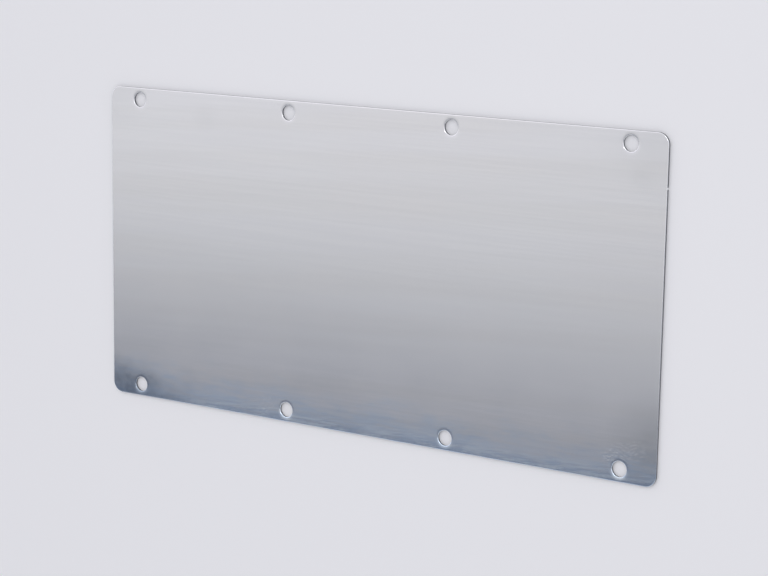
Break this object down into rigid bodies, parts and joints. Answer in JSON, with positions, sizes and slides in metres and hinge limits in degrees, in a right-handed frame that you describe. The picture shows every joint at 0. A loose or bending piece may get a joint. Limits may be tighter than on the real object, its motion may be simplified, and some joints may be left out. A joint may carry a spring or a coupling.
{
  "type": "module plate",
  "caption": "Flat zinc-plated sheet steel module plate with rounded corners and a row of fixing holes along each long edge, to close off a cut-out in an enclosure.",
  "frame": {"origin": "middle of the plate's outline, on the back face, which is what the plate lies on", "axes": "+X along the long side, to the right as seen from the front; +Y up the face as the plate is mounted; +Z out of the front face"},
  "size_m": [0.34, 0.173, 0.0015],
  "materials": {
    "zinc_plated_steel": "bright zinc plating on cold-rolled sheet, satin gloss"
  },
  "bodies": {
    "root": {"module_plate": "zinc_plated_steel"}
  },
  "joints": []
}
